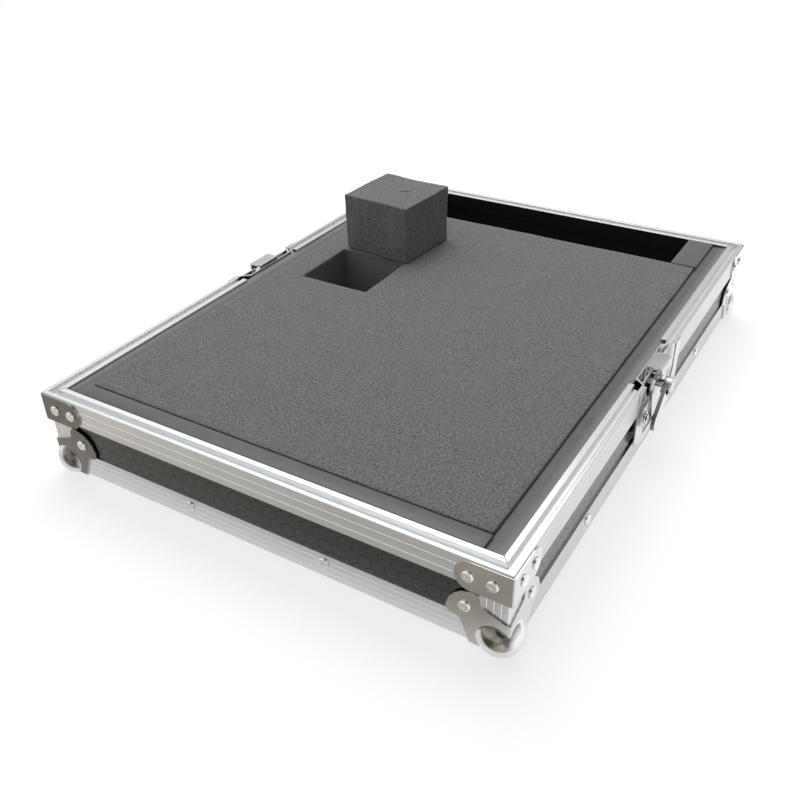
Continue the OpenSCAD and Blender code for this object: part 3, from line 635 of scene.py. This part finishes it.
def with_swell(node, lo, hi):
    """Where the rim is cut away for the latch, a side strip swells out to the dish, a little below the top.
    Gives the grid lines to add in x and in y, and the test for filled cells."""
    side = {"foam_strip_left": "left_", "foam_strip_right": "right_"}.get(node)
    if side is None:
        return [], [], lambda x, y, z: True
    dish_lo, dish_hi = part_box(side + "dish")
    outer = max(abs(lo.x), abs(hi.x))
    reach = min(abs(dish_lo.x), abs(dish_hi.x)) - DISH_CLEAR
    from_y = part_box(f"rim_{side}front")[1].y + SWELL_CLEAR
    to_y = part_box(f"rim_{side}rear")[0].y - SWELL_CLEAR
    from_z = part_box(side + "panel")[1].z + SWELL_CLEAR
    to_z = hi.z - SWELL_DOWN
    sign = 1 if hi.x > 0 else -1
    return ([sign * reach], [from_y, to_y],
            lambda x, y, z: abs(x) < outer or (from_y < y < to_y and from_z < z < to_z))


strip_foam = lining("lining_foam", (0.070, 0.070, 0.0695), (0.116, 0.116, 0.115))
for seed, (node, pitch) in enumerate((("foam_strip_front", 8), ("foam_strip_left", 8), ("foam_strip_right", 8),
                                      ("end_block_left", 6), ("end_block_right", 6))):
    lo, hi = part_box(node)
    more_x, more_y, filled = with_swell(node, lo, hi)
    xs = sorted(steps(lo.x, hi.x, mm(pitch)) + more_x)
    zs = with_edges(lo.z, hi.z, mm(pitch), [hi.z - SWELL_DOWN, hi.z - SWELL_BEND_DOWN] if more_x else [])
    strip = grid_solid(node + "_lining", xs, with_edges(lo.y, hi.y, mm(pitch), more_y), zs, filled)
    soften(strip, edge=mm(0.25), wave=mm(0.15), rough=mm(0.03), seed=11.0 + seed)
    dress(strip, node, strip_foam, "tray")

pad_foam = foam("black_foam", (0.006, 0.006, 0.006), (0.020, 0.020, 0.020), sheen=0.1)
lo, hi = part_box("foam_pad")
pad = grid_solid("foam_pad_sheet", steps(lo.x, hi.x, PAD_GRID), steps(lo.y, hi.y, PAD_GRID),
                 steps(lo.z, hi.z, mm(4)))
soften(pad, edge=mm(0.8), wave=mm(0.4), rough=mm(0.1), seed=21.0)
dress(pad, "foam_pad", pad_foam, "tray")


# Floor

PALE_DARK, PALE_LIGHT = (0.49, 0.49, 0.49), (0.51, 0.51, 0.51)
FLOOR_R, FADE_FROM, FADE_TO = 1.3, 0.55, 1.15

# In front of the case, metal sees the studio's dim side: ROOM at the right, ROOM_LEFT times as bright at the left.
# The dim part begins a little before the case, and ever further forward beside it, at a slope of SLANT.
ROOM, ROOM_LEFT = (0.27, 0.24, 0.19), 1.9
ROOM_FROM_X, ROOM_TO_X = mm(60), -mm(240)
BRIGHT_FROM_Y, DIM_FROM_Y = -OUT_Y - mm(8), -OUT_Y - mm(42)
SLANT_FROM_X, SLANT = OUT_X - mm(30), 1.2

# The floor's own glow, and what metal sees on top of it at the right
GLOW, GLOW_RIGHT, GLOW_RIGHT_TO_X = 0.68, 0.22, OUT_X + mm(40)


def floor_material():
    """A pale floor: white where it is lit, with the object's shadow left on it, and dim in reflections in front."""
    g = Surface("pale_floor")
    g.set(Base_Color=g.blend(g.noise(3, 2, 0.5), PALE_DARK, PALE_LIGHT), Roughness=0.9, Specular_IOR_Level=0.0)
    path = g.node("LightPath").outputs
    beside = g.math("MAXIMUM", g.minus(g.at[X], SLANT_FROM_X), 0.0)
    bright = g.span(g.math("MULTIPLY_ADD", beside, SLANT, g.at[Y]), DIM_FROM_Y, BRIGHT_FROM_Y)
    room = g.blend(g.span(g.at[X], ROOM_FROM_X, ROOM_TO_X), ROOM, tuple(c * ROOM_LEFT for c in ROOM))
    lift = g.times(g.span(g.at[X], OUT_X, GLOW_RIGHT_TO_X, 0, GLOW_RIGHT), path["Is Glossy Ray"])
    g.set(Emission_Color=g.blend(g.math("MAXIMUM", path["Is Camera Ray"], bright), room, (1, 1, 1)),
          Emission_Strength=g.plus(lift, g.times(g.seen_directly(), GLOW)))
    fade = g.node("MixShader")
    g.put(fade.inputs[0], g.span(g.vector("LENGTH", g.vector("MULTIPLY", g.where, (1, 1, 0))),
                                 FADE_FROM, FADE_TO, smooth=True))
    g.put(fade.inputs[1], g.shader.outputs[0])
    g.put(fade.inputs[2], g.node("BsdfTransparent").outputs[0])
    g.put(g.out.inputs["Surface"], fade.outputs[0])
    return g.material


bpy.ops.mesh.primitive_circle_add(vertices=96, radius=FLOOR_R, fill_type="NGON", location=(0, 0, 0))
floor = bpy.context.object
floor.name = "floor"
floor.data.materials.append(floor_material())


# World and lamps

AMBIENT = 0.50
world = bpy.data.worlds.new("studio")
bpy.context.scene.world = world
world.use_nodes = True
sky = Graph(world.node_tree)
ray = sky.node("TexCoord").outputs["Generated"]


def dimmed(centre, begin, full, least):
    """1 all round, falling to least inside a cone round centre. begin and full are cosines."""
    toward = sky.vector("DOT_PRODUCT", ray, Vector(centre).normalized())
    return sky.span(toward, begin, full, 1.0, least, smooth=True)


# White to the camera. Metal also sees the dim room in front, and the soft light is weaker from the right.
direct = sky.seen_directly()
dim_front = dimmed((0.32, -0.60, 0.73), 0.84, 0.95, 0.15)
dim_back = dimmed((-0.30, 0.87, 0.40), 0.90, 0.97, 0.80)
dim_right = dimmed((0.90, -0.30, 0.25), 0.30, 0.85, 0.10)
reflected = sky.times(direct, sky.times(dim_front, dim_back))
soft = sky.times(sky.times(dim_right, AMBIENT), sky.minus(1.0, direct))
camera_ray = sky.node("LightPath").outputs["Is Camera Ray"]
background = world.node_tree.nodes["Background"]
sky.put(background.inputs["Strength"], sky.math("MAXIMUM", camera_ray, sky.math("MAXIMUM", reflected, soft)))
sky.put(background.inputs["Color"], (1, 1, 1))


def lamp(name, at, width, height, power):
    """A soft box that looks at the middle of the case."""
    data = bpy.data.lights.new(name, "AREA")
    data.shape = "RECTANGLE"
    data.size = width
    data.size_y = height
    data.energy = power
    obj = bpy.data.objects.new(name, data)
    obj.location = at
    obj.rotation_euler = (Vector((0, 0, mm(80))) - Vector(at)).to_track_quat("-Z", "Y").to_euler()
    bpy.context.scene.collection.objects.link(obj)


lamp("softbox_back", (-1.59, 1.76, 1.99), 2.0, 1.6, 3.0)
lamp("softbox_top", (-0.45, 0.55, 1.95), 1.4, 1.4, 19)


# Camera, solved from the rim's four corners in the photograph. Its place is in widths of the rim, from the middle
# of the rim's front top edge.

RIM_WIDTH = 0.44
FOCAL_PX, PICTURE_PX, SENSOR_MM = 895.18, 800, 36
AZIMUTH, ELEVATION, ROLL = (math.radians(a) for a in (31.841, 33.345, -1.290))
CAMERA_AT = Vector((0.85703686, -0.87571373, 0.9221182))
camera_data = bpy.data.cameras.new("camera")
camera_data.sensor_width = SENSOR_MM
camera_data.lens = FOCAL_PX / PICTURE_PX * SENSOR_MM
camera_data.clip_start = 0.01
camera = bpy.data.objects.new("camera", camera_data)
bpy.context.scene.collection.objects.link(camera)
backward = Vector((math.sin(AZIMUTH) * math.cos(ELEVATION), -math.cos(AZIMUTH) * math.cos(ELEVATION),
                   math.sin(ELEVATION)))
right = Vector((0, 0, 1)).cross(backward).normalized()
upward = backward.cross(right)
rolled_right = math.cos(ROLL) * right + math.sin(ROLL) * upward
rolled_up = math.cos(ROLL) * upward - math.sin(ROLL) * right
place = CAMERA_AT * RIM_WIDTH + Vector((0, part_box("rim_front")[0].y, RIM_TOP))
camera.matrix_world = Matrix((
    (rolled_right.x, rolled_up.x, backward.x, place.x),
    (rolled_right.y, rolled_up.y, backward.y, place.y),
    (rolled_right.z, rolled_up.z, backward.z, place.z),
    (0, 0, 0, 1)))
bpy.context.scene.camera = camera
bpy.context.scene.view_settings.view_transform = "Standard"
